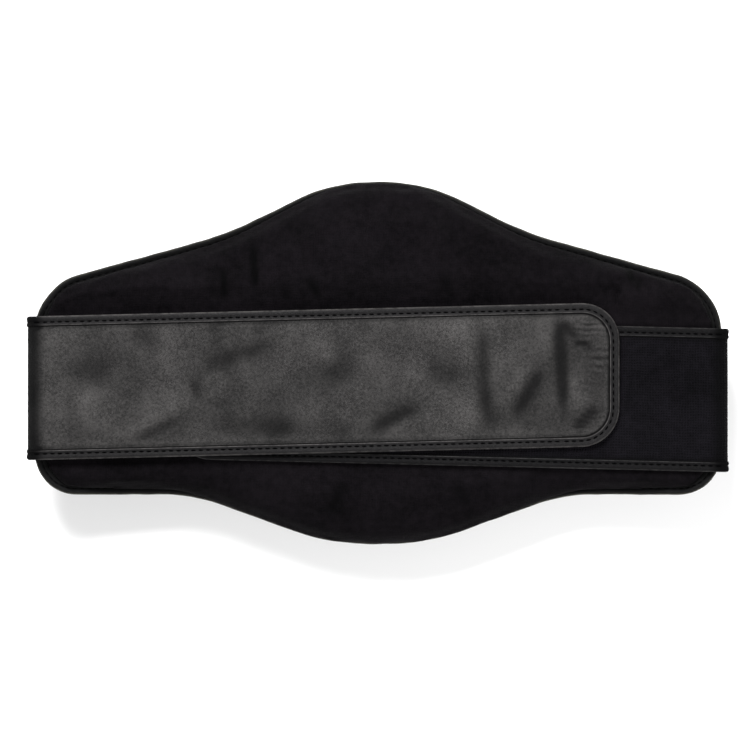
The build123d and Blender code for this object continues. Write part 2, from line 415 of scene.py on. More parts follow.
hookPlastic = patternMaterial("hookPlastic", clothWeave, {"Pitch": 520.0, "Ribs": 0.1, "Slub": 0.5}, {
    "dark": (0.004, 0.004, 0.0045), "light": (0.012, 0.012, 0.013), "rough": (0.4, 0.55),
    "bump": 0.3, "bumpHeight": 0.2 * mm, "gloss": 0.09,
})
thread = patternMaterial("thread", clothWeave, {"Pitch": 1800.0, "Ribs": 0.2, "Slub": 0.6}, {
    "dark": (0.0004, 0.0004, 0.0005), "light": (0.0012, 0.0012, 0.0014), "rough": (0.75, 0.85),
    "bump": 0.5, "bumpHeight": 0.2 * mm, "gloss": 0.015,
})
hardFoam = patternMaterial("hardFoam", leatherGrain, {"Pebble": 900.0, "Mottle": 0.8}, {
    "dark": (0.03, 0.03, 0.033), "light": (0.07, 0.07, 0.075), "rough": (0.85, 0.95),
    "bump": 0.6, "bumpHeight": 0.5 * mm, "gloss": 0.3,
})
softFoam = patternMaterial("softFoam", leatherGrain, {"Pebble": 500.0, "Mottle": 0.9}, {
    "dark": (0.32, 0.30, 0.23), "light": (0.48, 0.46, 0.37), "rough": (0.9, 1.0),
    "bump": 0.7, "bumpHeight": 0.8 * mm, "gloss": 0.2,
})
print("materials made")


rimLow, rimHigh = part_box("rim_binding")
pad = {
    # right half, chest peak to lower peak: x, y, corner radius
    "rim": [
        (0, 0.1938, 0.165), (0.143, 0.1237, 0.266), (0.325, 0.0723, 0.055),
        (0.325, -0.125, 0.040), (0.177, -0.125, 0.150), (0, -0.1887, 0.226),
    ],
    "wall": [
        (0, 0.1896, 0.140), (0.141, 0.1165, 0.260), (0.314, 0.066, 0.046),
        (0.314, -0.116, 0.034), (0.179, -0.1195, 0.150), (0, -0.186, 0.222),
    ],
    "level": 0.140,  # the middle stays level as far out as this
    "rimThick": 5.2 * mm,
    "cornerSteps": 16,
    "step": 4 * mm,  # along the rim
    "cutPitch": 20 * mm,  # its flat faces are cut across this often
}
pad["rise"] = rimHigh.z - rimLow.z - pad["rimThick"]
pad["rimMiddle"] = rimLow.z + pad["rimThick"] / 2
riseRun = rimHigh.x - pad["level"]
riseRadius = (riseRun**2 + pad["rise"] ** 2) / (2 * pad["rise"])


def riseAt(x):  # how much the pad has climbed towards its end
    over = max(0.0, abs(x) - pad["level"])
    return riseRadius - math.sqrt(riseRadius**2 - over**2)


def roundedOutline(rightHalf):  # a flat face with its corners rounded, as an ordered ring of points
    corners = rightHalf + [(-x, y, radius) for x, y, radius in reversed(rightHalf[1:-1])]
    bm = bmesh.new()
    verts = [bm.verts.new((x, y, 0)) for x, y, radius in corners]
    bm.faces.new(verts)
    reaches = []
    for i, (x, y, radius) in enumerate(corners):
        before = verts[i].co - verts[i - 1].co
        after = verts[(i + 1) % len(verts)].co - verts[i].co
        reaches.append(radius * math.tan(before.angle(after) / 2))
    for vert, reach in zip(verts, reaches):
        bmesh.ops.bevel(
            bm, geom=[vert], offset=reach, offset_type="OFFSET", segments=pad["cornerSteps"],
            profile=0.5, affect="VERTICES", material=-1,
        )
    bm.faces.ensure_lookup_table()
    points = [vert.co.copy() for vert in bm.faces[0].verts]
    bm.free()
    top = max(range(len(points)), key=lambda i: points[i].y - abs(points[i].x) * 0.01)
    points = points[top:] + points[:top]
    return points if points[3].x > 0 else [points[0]] + points[:0:-1]  # from the peak to the right


def inwardFrom(ring):  # which way the pad's middle lies from each point of a ring
    ahead, behind = ring[1:] + ring[:1], ring[-1:] + ring[:-1]
    return [Vector((a.y - b.y, b.x - a.x, 0)).normalized() for a, b in zip(ahead, behind)]


rimPoints, wallPoints = roundedOutline(pad["rim"]), roundedOutline(pad["wall"])
rimPlaces = evenPlaces(rimPoints, pad["step"], closed=True)
rimRing = [pointAt(rimPoints, place) for place in rimPlaces]
wallRing = [pointAt(wallPoints, place) for place in rimPlaces]
rimInward, wallInward = inwardFrom(rimRing), inwardFrom(wallRing)
print("outline has", len(rimRing), "places")


rimTape = {
    # half of the tape's section in mm: in from the outer edge, and up from its middle
    "section": [
        (0.0, 0.0), (0.2, 1.3), (0.9, 2.3), (2.2, 2.8), (3.8, 2.6), (5.0, 2.1),
        (5.8, 2.0), (6.6, 2.1), (8.6, 2.2), (10.6, 1.9), (11.6, 0.8),
    ],
    "wobble": 0.45 * mm,
    "stitchIn": 5.7 * mm,
    "stitchPitch": 7.2 * mm,
    "stitchLong": 4.4 * mm,
    "stitchThick": 0.95 * mm,
    "stitchUp": 2.25 * mm,  # and as far down on the other side
    "pipingRadius": 1.75 * mm,
    "pipingOut": 0.8 * mm,
}


def rimPoint(index, inward, up):  # a place on the rim: in from its outer edge, up from its middle
    index %= len(rimRing)
    outer = rimRing[index]
    ripple = noiseAt(outer.x * 70, outer.y * 70, 4.2)
    wave = noiseAt(outer.x * 22, outer.y * 22, 1.7)
    place = outer + rimInward[index] * (inward - rimTape["wobble"] * ripple)
    place.z = pad["rimMiddle"] + riseAt(place.x) + up + 2 * rimTape["wobble"] * wave
    return place


def buildRimTape():
    half = [(inward * mm, up * mm) for inward, up in rimTape["section"]]
    section = half + [(inward, -up) for inward, up in reversed(half[1:])]
    bm = bmesh.new()
    fromEdge = bm.verts.layers.float.new("fromEdge")
    paintedShade = bm.verts.layers.float.new("paintedShade")
    rings = []
    for inward, up in section:
        verts = [bm.verts.new(rimPoint(i, inward, up)) for i in range(len(rimRing))]
        for vert in verts:
            vert[fromEdge] = inward
            # painted shade on the stitch line and on the tape's inner part beside the cushion
            vert[paintedShade] = humpAt(inward, rimTape["stitchIn"], 1 * mm) + smoothStep(inward, 7 * mm, 9 * mm)
        rings.append([bm.edges.new((a, b)) for a, b in zip(verts, verts[1:] + verts[:1])])
    for ring, after in zip(rings, rings[1:] + rings[:1]):
        bmesh.ops.bridge_loops(bm, edges=ring + after)
    return pieceFromBmesh(bm, "rimTape", rimLeather, subdivide=1)


def makeStitch(long, thick):  # one stitch, to be copied along a seam
    bm = bmesh.new()
    size = Matrix.Diagonal((long, thick, thick, 1))
    bmesh.ops.create_uvsphere(bm, u_segments=8, v_segments=6, radius=0.5, matrix=size)
    mesh = bpy.data.meshes.new("stitch")
    bm.to_mesh(mesh)
    bm.free()
    return mesh


def addCopy(bm, mesh, place, direction):
    turn = Matrix.Translation(place) @ direction.to_track_quat("X", "Z").to_matrix().to_4x4()
    mesh.transform(turn)
    bm.from_mesh(mesh)
    mesh.transform(turn.inverted())


def buildRimStitches():
    bm = bmesh.new()
    stitch = makeStitch(rimTape["stitchLong"], rimTape["stitchThick"])
    inward = rimTape["stitchIn"]
    for place in evenPlaces(rimRing, rimTape["stitchPitch"], closed=True):
        index, share = int(place), place - int(place)
        for up in (rimTape["stitchUp"], -rimTape["stitchUp"]):
            here, ahead = rimPoint(index, inward, up), rimPoint(index + 1, inward, up)
            addCopy(bm, stitch, here.lerp(ahead, share), ahead - here)
    return pieceFromBmesh(bm, "rimStitches", thread)


def buildPiping():
    radius = rimTape["pipingRadius"]
    circle = [(radius * math.cos(a), radius * math.sin(a)) for a in (math.tau * i / 12 for i in range(12))]
    points = []
    for wall, inward in zip(wallRing, wallInward):
        place = wall - inward * rimTape["pipingOut"]
        points.append(Vector((place.x, place.y, radius + riseAt(place.x))))
    return pieceFromBmesh(sweep(points, circle, closed=True), "frontPiping", strikeLeather)


for piece, nodes, slotName in (
    (buildRimTape(), ["rim_binding"], "rim_leather"),
    (buildRimStitches(), ["rim_thread"], "thread"),
    (buildPiping(), ["front_piping"], "strike_leather"),
):
    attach(piece, "pad")
    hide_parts(*nodes)
print("rim made")


swellFrames = 20


def swell(piece, settings, isPinned):  # cloth under pressure, with how far each point may move capped
    start = [v.co.copy() for v in piece.data.vertices]
    pins = piece.vertex_groups.new(name="sewn")
    pins.add([i for i, co in enumerate(start) if isPinned(co)], 1.0, "REPLACE")
    cloth = piece.modifiers.new("Swell", "CLOTH")
    cloth.settings.quality = 6
    cloth.settings.mass = 0.25
    cloth.settings.tension_stiffness = settings["stretch"]
    cloth.settings.compression_stiffness = settings["stretch"]
    cloth.settings.shear_stiffness = settings["stretch"] / 2
    cloth.settings.bending_stiffness = settings["bend"]
    cloth.settings.use_pressure = True
    cloth.settings.uniform_pressure_force = settings["pressure"]
    cloth.settings.shrink_min = -settings["slack"]
    cloth.settings.vertex_group_mass = "sewn"
    cloth.settings.effector_weights.gravity = 0
    cloth.point_cache.frame_start, cloth.point_cache.frame_end = 1, swellFrames
    for frameNumber in range(1, swellFrames + 1):
        scene.frame_set(frameNumber)
    swollen = bakedMesh(piece)
    piece.modifiers.remove(cloth)
    for vertex, before, after in zip(piece.data.vertices, start, swollen.vertices):
        move = after.co - before
        vertex.co = before + move * min(1.0, settings["cap"] / max(move.length, 1e-9))
    bpy.data.meshes.remove(swollen)
    piece.vertex_groups.clear()
    scene.frame_set(1)


def remeshed(bm, name, material, voxel):
    piece = pieceFromBmesh(bm, name, material)
    modifier = piece.modifiers.new("Even", "REMESH")
    modifier.mode = "VOXEL"
    modifier.voxel_size = voxel
    modifier.use_smooth_shade = True
    applyModifiers(piece)
    return piece


def smoothVerts(piece, rounds):
    bm = bmesh.new()
    bm.from_mesh(piece.data)
    for i in range(rounds):
        everyWay = {"use_axis_x": True, "use_axis_y": True, "use_axis_z": True}
        bmesh.ops.smooth_vert(bm, verts=bm.verts, factor=0.5, **everyWay)
    bm.to_mesh(piece.data)
    bm.free()


def layeredBlock(rows, overhang=None):  # a closed body from rows of inset, height, share of the overhang
    bm = bmesh.new()
    rings = []
    for inset, height, share in rows:
        verts = []
        for wall, inward in zip(wallRing, wallInward):
            out = share * overhang(wall.x, wall.y) if overhang else 0.0
            place = wall + inward * (inset - out)
            verts.append(bm.verts.new((place.x, place.y, height)))
        rings.append([bm.edges.new((a, b)) for a, b in zip(verts, verts[1:] + verts[:1])])
    for ring, after in zip(rings, rings[1:]):
        bmesh.ops.bridge_loops(bm, edges=ring + after)
    for ring in (rings[0], rings[-1]):
        bmesh.ops.contextual_create(bm, geom=ring)
    cuts = int(rimHigh.x / pad["cutPitch"])
    for i in range(-cuts, cuts + 1):  # cut across, so that the flat faces can follow the rise of the ends
        every, cut = bm.verts[:] + bm.edges[:] + bm.faces[:], (i * pad["cutPitch"], 0, 0)
        bmesh.ops.bisect_plane(bm, geom=every, plane_co=cut, plane_no=(1, 0, 0))
    for vert in bm.verts:
        vert.co.z += riseAt(vert.co.x)
    return bm


closedStraps = {
    "width": 136 * mm,
    "slope": 0.024,  # each strap climbs towards the chest by this much of its run
    "longTip": 0.228,
    "loopTip": -0.1945,
}
backCushion = {
    "voxel": 5 * mm,
    "swell": {"pressure": 4.0, "stretch": 12.0, "bend": 0.6, "slack": 0.02, "cap": 6 * mm},
    # in from the wall, up from the rim's middle, share of the overhang; all but the last in mm
    "rows": [
        (4, -4, 0), (2, -3, 0), (-2.4, 0.2, 0.3), (-2.4, 3.5, 0.8), (-2.2, 8, 1),
        (-0.6, 14, 0.8), (3, 19, 0.4), (9, 22.6, 0), (18, 24.2, 0),
    ],
    "chestOver": 0.6 * mm,  # how far it hangs over the rim at the chest peak
    "lowOver": 3.2 * mm,  # and at the lower peak
    "underStraps": 75.8 * mm,
    "fullness": 5 * mm,  # how much higher it stands where no strap presses on it
    "fadeFrom": 2 * mm,
    "fadeTo": 30 * mm,  # this far from the straps it has its full height
    "lumps": 0.9 * mm,
    "ripples": 0.35 * mm,
    "sewnUp": 2.5 * mm,  # the tape holds it up to here
    "chestSpan": (80 * mm, 160 * mm),  # it hangs over the rim less and less between these
    "lowSpan": (130 * mm, 200 * mm),
    "foamGap": 2.4 * mm,
    "darkest": 1.2 * mm,  # a crease this deep gets the full painted shade
    # from, to, depth and width in mm
    "creases": [
        ((-0.1190, 0.116), (-0.1150, 0.066), 1.8, 3.8),
        ((-0.1470, 0.094), (-0.1440, 0.056), 1.4, 3.8),
        ((-0.1560, 0.085), (-0.1550, 0.060), 0.6, 3.4),
        ((-0.0660, 0.082), (-0.0540, 0.058), 1.0, 4.0),
        ((-0.0900, 0.074), (-0.0840, 0.056), 0.7, 3.6),
        ((0.2360, 0.096), (0.2410, 0.074), 1.7, 3.4),
        ((0.2480, 0.084), (0.2440, 0.066), 0.8, 3.6),
        ((0.0600, 0.090), (0.0680, 0.060), 0.6, 5.0),
        ((-0.0500, -0.150), (-0.0300, -0.110), 0.8, 6.0),
        ((0.0900, -0.140), (0.0700, -0.110), 0.8, 6.0),
    ],
}


def cushionOverhang(x, y):  # most at the middle of each long side, none at the ends
    if y > 0:
        return backCushion["chestOver"] * (1 - smoothStep(abs(x), *backCushion["chestSpan"]))
    return backCushion["lowOver"] * (1 - smoothStep(abs(x), *backCushion["lowSpan"]))


def strapEdges(x):  # where the straps' lower and upper edges cross the back
    longRoot, loopRoot = joints["long_strap_swing"]["pos_m"], joints["loop_strap_swing"]["pos_m"]
    longY = longRoot[1] + closedStraps["slope"] * (x - longRoot[0])
    loopY = loopRoot[1] + closedStraps["slope"] * (loopRoot[0] - x)
    middles = [longY] * (x < closedStraps["longTip"]) + [loopY] * (x > closedStraps["loopTip"])
    return min(middles) - closedStraps["width"] / 2, max(middles) + closedStraps["width"] / 2


def cushionPlace(place, normal):  # fullness, small hollows and creases after the simulation
    x, y, z = place
    floor = pad["rimMiddle"] + riseAt(x)
    onTop = smoothStep(z, floor + 3 * mm, floor + 14 * mm)
    low, high = strapEdges(x)
    free = smoothStep(max(low - y, y - high), backCushion["fadeFrom"], backCushion["fadeTo"])
    z += backCushion["fullness"] * free * smoothStep(z, floor + 2 * mm, floor + 20 * mm)
    z = min(z, backCushion["underStraps"] + free * 2 * backCushion["fullness"])
    lumps = backCushion["lumps"] * noiseAt(x * 30, y * 22, 0.3)
    ripples = backCushion["ripples"] * noiseAt(x * 110, y * 40, 2.3)
    z += onTop * free * (lumps + ripples)
    z -= onTop * sum(creaseDepth(x, y, line) for line in backCushion["creases"])
    return x, y, z


def paintCreaseShade(piece):  # painted shade: the cloth is darker where a crease presses it in
    bm = bmesh.new()
    bm.from_mesh(piece.data)
    paintedShade = bm.verts.layers.float.new("paintedShade")
    for vert in bm.verts:
        depth = sum(creaseDepth(vert.co.x, vert.co.y, line) for line in backCushion["creases"])
        vert[paintedShade] = clamp(depth / backCushion["darkest"])
    bm.to_mesh(piece.data)
    bm.free()


def buildBackCushion():
    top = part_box("back_panel")[1].z
    rim = pad["rimMiddle"]
    rows = [(inset * mm, rim + height * mm, share) for inset, height, share in backCushion["rows"]]
    bm = layeredBlock(rows, cushionOverhang)
    for vert in bm.verts:
        vert.co.z = min(vert.co.z, max(top, rim + riseAt(vert.co.x) + 2 * mm))
    piece = remeshed(bm, "backCushion", backFabric, backCushion["voxel"])
    swell(piece, backCushion["swell"], lambda co: co.z < rim + riseAt(co.x) + backCushion["sewnUp"])
    smoothVerts(piece, 1)
    return piece


def buildComfortFoam(cushion):  # the same shape inside the cover
    piece = bpy.data.objects.new("comfortFoam", cushion.data.copy())
    scene.collection.objects.link(piece)
    piece.data.materials[0] = softFoam
    reshape(piece, lambda place, normal: place - normal * backCushion["foamGap"])
    return piece


strikeBody = {
    "voxel": 5 * mm,
    "swell": {"pressure": 3.0, "stretch": 18.0, "bend": 1.5, "slack": 0.015, "cap": 5 * mm},
    # in from the wall and up from the strike face in mm; the last two are measured from the rim
    "rows": [(7, 0), (1.2, 0), (-0.9, 1.4), (-1.2, 4), (-1.0, 9), (-1.4, 26), (-1.2, 40)],
    "rimRows": [(-0.6, -3), (4, -1.5)],
    "puckers": 0.7 * mm,
}


def strikePlace(place, normal):  # small upright puckers in the wall, and a flat face to stand on
    flat = 1 - abs(normal.z)
    place += normal * strikeBody["puckers"] * flat * noiseAt(place.x * 60, place.y * 60, place.z * 14)
    place.z = max(place.z, 0.0)
    return place


def buildStrikeBody():
    rim = pad["rimMiddle"]
    rows = [(inset * mm, height * mm, 0) for inset, height in strikeBody["rows"]]
    rows += [(inset * mm, rim + height * mm, 0) for inset, height in strikeBody["rimRows"]]
    piece = remeshed(layeredBlock(rows), "strikeBody", strikeLeather, strikeBody["voxel"])
    def isSewn(co):
        return co.z < riseAt(co.x) + 3 * mm or co.z > rim + riseAt(co.x) - 5 * mm
    swell(piece, strikeBody["swell"], isSewn)
    addSubdivision(piece, 1)
    applyModifiers(piece)
    reshape(piece, strikePlace)
    return piece


cushion = buildBackCushion()
foam = buildComfortFoam(cushion)
addSubdivision(cushion, 1)
applyModifiers(cushion)
reshape(cushion, cushionPlace)
paintCreaseShade(cushion)
foamTop = backCushion["underStraps"] - backCushion["foamGap"]
reshape(foam, lambda place, normal: (place.x, place.y, min(place.z, foamTop)))
for piece, nodes, slotName, fill in (
    (cushion, ["back_panel"], "back_fabric", 0.7),
    (foam, ["comfort_foam"], "soft_foam", 1.0),
    (buildStrikeBody(), ["front_panel", "side_gusset"], "strike_leather", 0.9),
):
    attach(piece, "pad")
    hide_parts(*nodes)
    print(piece.name, "made", len(piece.data.polygons))


strapSection = {
    # the bound edge's section in mm: in from the strap's edge, up from its underside
    "binding": [
        (10.4, 3.1), (10.2, 3.45), (9.4, 3.45), (8.7, 3.95), (7.8, 3.95), (6.7, 3.5), (5.9, 3.2),
        (5.1, 3.5), (3.4, 4.1), (1.6, 3.85), (0.4, 2.9), (0.0, 1.5), (0.4, 0.1), (1.6, -0.6),
        (3.4, -0.7), (5.0, -0.45), (5.8, -0.35), (6.6, -0.45), (7.8, -0.65), (9.3, -0.6),
        (9.5, -0.05), (1.5, 0.0), (1.5, 3.0),
    ],
    "stitchIn": 5.9 * mm,
    "stitchPitch": 7.0 * mm,
    "stitchLong": 4.8 * mm,
    "stitchThick": 1.5 * mm,
    "stitchUp": (3.45 * mm, -0.5 * mm),  # above and below
    "thick": 3 * mm,
    "edgeIn": 2.2 * mm,  # the layers' edges lie this far inside the binding
    "hem": 9.5 * mm,  # the binding ends in a flat lip here, painted dark as shade in the groove beside it
    "hemLine": 8.7 * mm,  # the ridge beside it, which gets a painted highlight
    "hemShadow": 0.8 * mm,  # painted shade: the leather is dark this far on both sides of the hem
    "hemFade": 2.5 * mm,  # and no longer dark this far in from it
    "foldShade": (2 * mm, 14 * mm),  # painted shade at the strap's fold, where it turns away from the light, fading out between these
    "rootLong": 8.5 * mm,  # under the rim
    "tipRadius": 36 * mm,
    "reach": 4.4 * mm,  # how far the fold's middle stands out from the hinge line
    "bendUnder": 1.2 * mm,  # the fold has turned all the way this far under the strap
}


def quarterLength(a, b):  # about a quarter of the way round an ellipse
    return math.pi / 2 * math.sqrt((a**2 + b**2) / 2)


def strapSettings(name, side, tipX, shoulder, lift):
    pivot = joints[name + "_swing"]["pos_m"]
    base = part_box(name + "_lining")[0].z
    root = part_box(name + "_fold")[0].z + strapSection["thick"] / 2
    middle = base + strapSection["thick"] / 2
    drop = (middle - root) / 2
    upper = quarterLength(shoulder + strapSection["reach"], drop)
    lower = quarterLength(strapSection["reach"], drop)
    return {
        "side": side, "hingeX": abs(pivot[0]), "rootY": pivot[1], "base": base, "root": root,
        "drop": drop, "foldMiddle": (middle + root) / 2, "long": abs(tipX - pivot[0]),
        "shoulder": shoulder, "upper": upper, "lower": lower, "lift": lift,
        "rootEnd": shoulder - upper - lower - strapSection["rootLong"],
    }


def strapPoint(strap, s, t, h):  # s from the hinge line towards the tip, t across, h up from the underside
    half, reach, drop = strapSection["thick"] / 2, strapSection["reach"], strap["drop"]
    turned = strap["shoulder"] - s  # how far along the fold
    if turned <= 0:
        inward, z = s, strap["base"] + h
    elif turned < strap["upper"]:
        angle, wide = turned / strap["upper"] * math.pi / 2, strap["shoulder"] + reach
        away = Vector((math.sin(angle) / wide, math.cos(angle) / drop)).normalized() * (h - half)
        inward = strap["shoulder"] - wide * math.sin(angle) - away.x
        z = strap["foldMiddle"] + drop * math.cos(angle) + away.y
    elif turned < strap["upper"] + strap["lower"]:
        angle = (turned - strap["upper"]) / strap["lower"] * math.pi / 2
        away = Vector((math.cos(angle) / reach, -math.sin(angle) / drop)).normalized() * (h - half)
        inward = -reach * math.cos(angle) - away.x
        z = strap["foldMiddle"] - drop * math.sin(angle) + away.y
    else:
        inward, z = turned - strap["upper"] - strap["lower"], strap["root"] + half - h
    x = strap["side"] * (strap["hingeX"] - inward)
    y = strap["rootY"] + closedStraps["slope"] * max(s, 0.0) + t
    if s > 0:
        z += strap["lift"](x, y) * smoothStep(s, 0.01, 0.06)
    return Vector((x, y, z))


def strapInset(strap, s, t):  # how far inside the strap's edge a flat place is
    half, radius = closedStraps["width"] / 2, strapSection["tipRadius"]
    past = Vector((s - strap["long"] + radius, abs(t) - half + radius))
    if past.x > 0 and past.y > 0:
        return radius - past.length
    return min(half - abs(t), strap["long"] - s)


def layOnStrap(bm, strap, relief=None):  # flat strap coordinates become places, kept for the materials
    kept = bm.verts.layers.float_vector.new("onStrap")
    fromEdge = bm.verts.layers.float.new("fromEdge")
    paintedShade = bm.verts.layers.float.new("paintedShade")
    hem, shadow = strapSection["hem"], strapSection["hemShadow"]
    for vert in bm.verts:
        s, t, h = vert.co
        inset = strapInset(strap, s, t)
        vert[kept] = (s, t, h)
        # the painted highlight follows both the outer edge and the hem's ridge
        vert[fromEdge] = min(inset, 2.2 * abs(inset - strapSection["hemLine"]) + 0.3 * mm)
        # painted shade in the stitch groove
        vert[paintedShade] = 0.3 * humpAt(inset, strapSection["stitchIn"], 1 * mm)
        # painted shade at the fold, where the strap turns away from the light
        vert[paintedShade] += 1 - smoothStep(s, *strapSection["foldShade"])
        # painted shade in the groove along the hem
        vert[paintedShade] += smoothStep(inset, hem - shadow, hem)
        vert[paintedShade] -= smoothStep(inset, hem + shadow, hem + strapSection["hemFade"])
        place = strapPoint(strap, s, t, h)
        if relief and h > 1.5 * mm:
            rise, crease = relief(place.x, place.y, inset, s)
            place.z += rise
            # painted shade from the relief's folds and hollows
            vert[paintedShade] += crease
        vert.co = place


def strapPanel(start, end, layer, step, tipped):  # a layer of the strap between two distances, flat
    inset = strapSection["edgeIn"]
    halfWide = closedStraps["width"] / 2 - inset
    radius = strapSection["tipRadius"] - inset
    end = end - inset if tipped else end
    low, high = layer
    rows, columns = round(2 * halfWide / step), max(2, round((end - start) / step))
    bm = bmesh.new()
    bm.edges.layers.float.new("crease_edge")
    bmesh.ops.create_grid(bm, x_segments=columns, y_segments=rows, size=0.5)
    for vert in bm.verts:
        u, t = vert.co.x + 0.5, vert.co.y * 2 * halfWide
        last = end
        if tipped:
            past = max(0.0, abs(t) - (halfWide - radius))
            last = end - radius + math.sqrt(max(0.0, radius**2 - past**2))
        vert.co = (start + (last - start) * u, t, high)
    sides = bmesh.ops.extrude_face_region(bm, geom=bm.faces[:])
    lowVerts = [v for v in sides["geom"] if isinstance(v, bmesh.types.BMVert)]
    bmesh.ops.translate(bm, verts=lowVerts, vec=(0, 0, low - high))
    for cut in (start,) if tipped else (start, end):  # a cut end meets the next piece without a gap
        ends = {f for f in bm.faces if all(abs(v.co.x - cut) < 1e-6 for v in f.verts)}
        keepCrisp(bm, {edge for f in ends for edge in f.edges if set(edge.link_faces) - ends})
    return bm


def strapEdgePath(strap, start, end, inset, tipped):  # along the strap's edge, in from it, one or two lines
    half = closedStraps["width"] / 2 - inset
    radius, tip = strapSection["tipRadius"] - inset, end - inset
    last = tip - radius - 1 * mm if tipped else end - 1 * mm
    stops, s = [], start
    while s < last:
        stops.append(s)
        s += 1.5 * mm if s < strap["shoulder"] + 2 * mm else 4 * mm
    if not tipped:
        return [[Vector((s, side * half)) for s in stops + [end]] for side in (1, -1)]
    angles = [math.pi / 2 * i / 14 for i in range(15)]
    middle = Vector((tip - radius, half - radius))
    turn = [middle + radius * Vector((math.sin(a), math.cos(a))) for a in angles]
    across = [Vector((tip, (half - radius) * (1 - i / 8))) for i in range(1, 9)]
    upper = [Vector((s, half)) for s in stops] + turn + across
    return [upper + [Vector((p.x, -p.y)) for p in reversed(upper[:-1])]]


def buildBinding(name, strap, material, start, end, tipped):
    profile = [(inward * mm, up * mm) for inward, up in strapSection["binding"]]
    bm = bmesh.new()
    for line in strapEdgePath(strap, start, end, 0.0, tipped):
        side = 1 if line[0].y > 0 else -1
        part = sweep([Vector((p.x, p.y, 0)) for p in line], [(inward * side, up) for inward, up in profile])
        mesh = bpy.data.meshes.new("part")
        part.to_mesh(mesh)
        part.free()
        bm.from_mesh(mesh)
        bpy.data.meshes.remove(mesh)
    layOnStrap(bm, strap)
    return pieceFromBmesh(bm, name, material, subdivide=1)


def buildStrapStitches(name, strap, start, end, tipped):
    bm = bmesh.new()
    stitch = makeStitch(strapSection["stitchLong"], strapSection["stitchThick"])
    for line in strapEdgePath(strap, start, end, strapSection["stitchIn"], tipped):
        for place in evenPlaces(line, strapSection["stitchPitch"], margin=1 * mm):
            here = pointAt(line, place)
            ahead = line[min(int(place) + 1, len(line) - 1)] - line[int(place)]
            for up in strapSection["stitchUp"]:
                addCopy(bm, stitch, Vector((here.x, here.y, up)), Vector((ahead.x, ahead.y, 0)))
    layOnStrap(bm, strap)
    return pieceFromBmesh(bm, name, thread)


strapLeatherFolds = [
    # from, to, depth and width in mm; a ridge where the depth is below zero
    ((-0.236, -0.078), (-0.180, -0.048), 2.3, 5.5),
    ((-0.262, -0.080), (-0.176, -0.040), -1.3, 7),
    ((-0.300, -0.006), (-0.246, -0.012), 1.2, 13),
    ((-0.290, -0.040), (-0.262, -0.038), -1.4, 14),
    ((-0.312, 0.028), (-0.270, 0.030), -1.0, 13),
    ((-0.240, 0.034), (-0.200, 0.016), 1.0, 10),
    ((-0.164, 0.030), (-0.140, 0.040), 1.2, 5),
    ((-0.168, -0.006), (-0.096, 0.021), 1.5, 8),
    ((-0.125, 0.032), (-0.082, 0.040), 1.2, 6),
    ((-0.176, -0.012), (-0.170, -0.036), 1.0, 4),
    ((-0.172, -0.060), (-0.052, -0.061), 1.4, 12),
    ((-0.072, 0.022), (-0.034, 0.004), -1.2, 12),
    ((-0.059, -0.022), (-0.016, 0.008), 1.2, 12),
    ((-0.0125, 0.042), (-0.017, 0.024), 0.6, 6),
    ((0.052, 0.036), (0.080, 0.020), -1.0, 12),
    ((-0.013, -0.066), (0.048, -0.038), 1.9, 7),
    ((0.002, -0.062), (0.060, -0.052), -1.0, 8),
    ((0.040, -0.004), (0.077, -0.020), 1.1, 12),
    ((0.096, 0.052), (0.104, -0.074), 2.0, 7.5),
    ((0.080, 0.046), (0.084, -0.010), -1.0, 9),
    ((0.158, 0.000), (0.126, -0.056), 1.8, 6.5),
    ((0.146, 0.002), (0.116, -0.044), -1.2, 7),
    ((0.170, 0.054), (0.176, -0.058), 2.6, 5),
    ((0.156, 0.044), (0.160, 0.000), -1.0, 7),
    ((0.172, 0.040), (0.188, 0.022), 1.8, 4.5),
    ((0.182, 0.021), (0.204, 0.015), 1.6, 2.6),
    ((0.186, -0.010), (0.188, -0.046), -1.2, 7),
    ((0.184, -0.066), (0.208, -0.038), 2.0, 6),
]
strapRelief = {
    "puff": 2.2 * mm,  # how much the leather swells between its bound edges
    "bulge": 1.9 * mm,
    "crumple": 1.3 * mm,
    "foldGain": 1.5,
    "gather": 0.6 * mm,  # the small folds at the tip
    "gatherFrom": 0.180,
    "dentMiddle": (-0.153, -0.0227),
    "dentRadius": 17.5 * mm,
    "dentRise": 0.5 * mm,  # the round dent's middle stands up inside a sunken ring
    "dentRing": 0.6 * mm,
    "lowest": -1.4 * mm,
    "longWave": 1.6 * mm,  # how far the whole strap lifts in its waves
    "loopWave": 0.4 * mm,
    "lightest": 1.9 * mm,  # leather this high gets the least painted shade, and this low the most
    "darkest": 3.9 * mm,
    "tipShade": 0.8 * mm,  # the tip counts as this much lower, so it is darker
}


